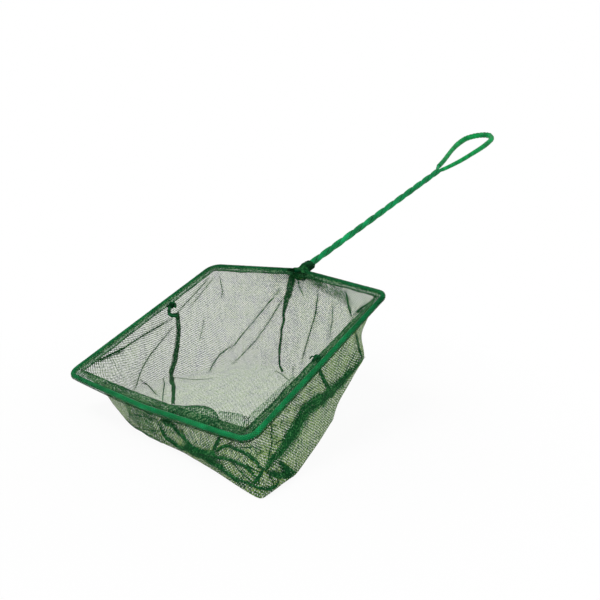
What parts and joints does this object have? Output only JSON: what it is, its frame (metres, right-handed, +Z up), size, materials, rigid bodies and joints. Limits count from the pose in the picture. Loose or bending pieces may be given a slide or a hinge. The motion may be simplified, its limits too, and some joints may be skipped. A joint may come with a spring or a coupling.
{
  "type": "aquarium hand net",
  "caption": "Hand net with a coated wire rim, a twisted wire handle, a hang loop and a deep bag of fine mesh hemmed onto the rim.",
  "frame": {"origin": "middle of the handle's grip, on the handle's axis, 100 mm from the throat", "axes": "+Z up with the bag's bottom on a level table, +X level and out towards the hang loop, +Y to the left of a holder who looks from the loop to the rim's right side; the handle rises at 21.4 degrees"},
  "size_m": [0.381, 0.1633, 0.1714],
  "materials": {
    "steel_wire": "drawn wire",
    "wire_coat": "glossy dip coat",
    "sleeve": "soft glossy tube",
    "hem_mesh": "folded net, layers doubled",
    "net_mesh": "fine knotless net",
    "dark_thread": "sewing thread",
    "seam_thread": "overcast seam"
  },
  "bodies": {
    "root": {"rim_wire": "steel_wire", "rim_coat": "wire_coat", "handle_wire_left": "steel_wire", "handle_wire_right": "steel_wire", "handle_coat": "wire_coat", "loop_wire": "steel_wire", "loop_coat": "wire_coat", "loop_sleeve": "sleeve", "front_hem": "hem_mesh", "back_left_hem": "hem_mesh", "back_right_hem": "hem_mesh", "front_hem_stitching": "dark_thread", "back_hem_stitching": "dark_thread", "front_panel": "net_mesh", "back_panel": "net_mesh", "left_seam": "seam_thread", "right_seam": "seam_thread", "left_seam_knot": "dark_thread", "right_seam_knot": "dark_thread", "throat_gather": "hem_mesh", "throat_whipping": "dark_thread", "throat_pleat": "hem_mesh", "thread_end": "dark_thread"}
  },
  "joints": []
}
